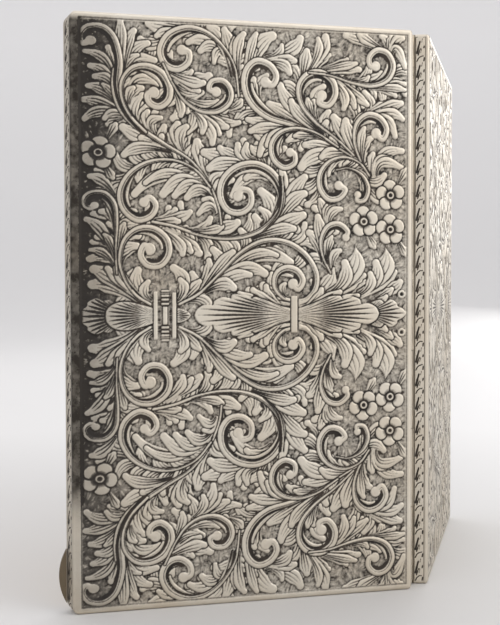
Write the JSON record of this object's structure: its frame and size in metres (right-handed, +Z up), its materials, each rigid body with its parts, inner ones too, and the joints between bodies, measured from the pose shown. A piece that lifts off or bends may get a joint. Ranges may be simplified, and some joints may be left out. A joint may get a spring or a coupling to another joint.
{
  "type": "business card case",
  "caption": "Slim engraved metal card case that opens like a book on a full-length pin hinge, with a gilt interior, snap bezel, thumb lip and sprung card retainer.",
  "frame": {"origin": "under the middle of the open case's bounding box, on the surface that it stands on", "axes": "+Z up along the case's length and its hinge pin, front cover facing -Y, opening edge of the front cover towards -X"},
  "size_m": [0.0918, 0.0556, 0.096],
  "materials": {
    "engraved_silver": "hand engraved, oxidised in the recesses, worn bright on the leaves",
    "plain_silver": "polished, lightly worn",
    "gilt": "thin gilding, satin",
    "spring_steel": "satin"
  },
  "bodies": {
    "front_cover": {"front_cover_plate": "engraved_silver", "front_side_walls": "engraved_silver", "front_lining": "gilt", "front_hinge_bearer": "plain_silver", "front_knuckle_1": "plain_silver", "front_knuckle_2": "plain_silver", "front_knuckle_3": "plain_silver", "front_knuckle_4": "plain_silver", "hinge_pin": "spring_steel", "snap_bezel": "gilt", "catch_spring": "spring_steel", "catch_rivet_lower": "gilt", "catch_rivet_upper": "gilt", "thumb_lip": "plain_silver"},
    "back_cover": {"back_cover_plate": "engraved_silver", "back_side_walls": "engraved_silver", "back_lining": "gilt", "back_hinge_bearer": "plain_silver", "back_knuckle_1": "plain_silver", "back_knuckle_2": "plain_silver", "back_knuckle_3": "plain_silver", "retainer_lug_upper": "gilt", "retainer_lug_lower": "gilt"},
    "card_retainer": {"retainer_rod": "gilt", "retainer_frame": "gilt", "retainer_spring_upper": "spring_steel", "retainer_spring_lower": "spring_steel"}
  },
  "joints": [
    {"name": "cover_hinge", "type": "hinge", "parent": "front_cover", "child": "back_cover", "pos_m": [0.01475, -0.02423, 0.048], "axis": [0, 0, -1], "range_deg": [-118.8, 61.2]},
    {"name": "retainer_pivot", "type": "hinge", "parent": "back_cover", "child": "card_retainer", "pos_m": [0.01953, -0.01886, 0.048], "axis": [0, 0, 1], "range_deg": [0, 5], "stiffness_Nm_per_rad": 0.1}
  ]
}
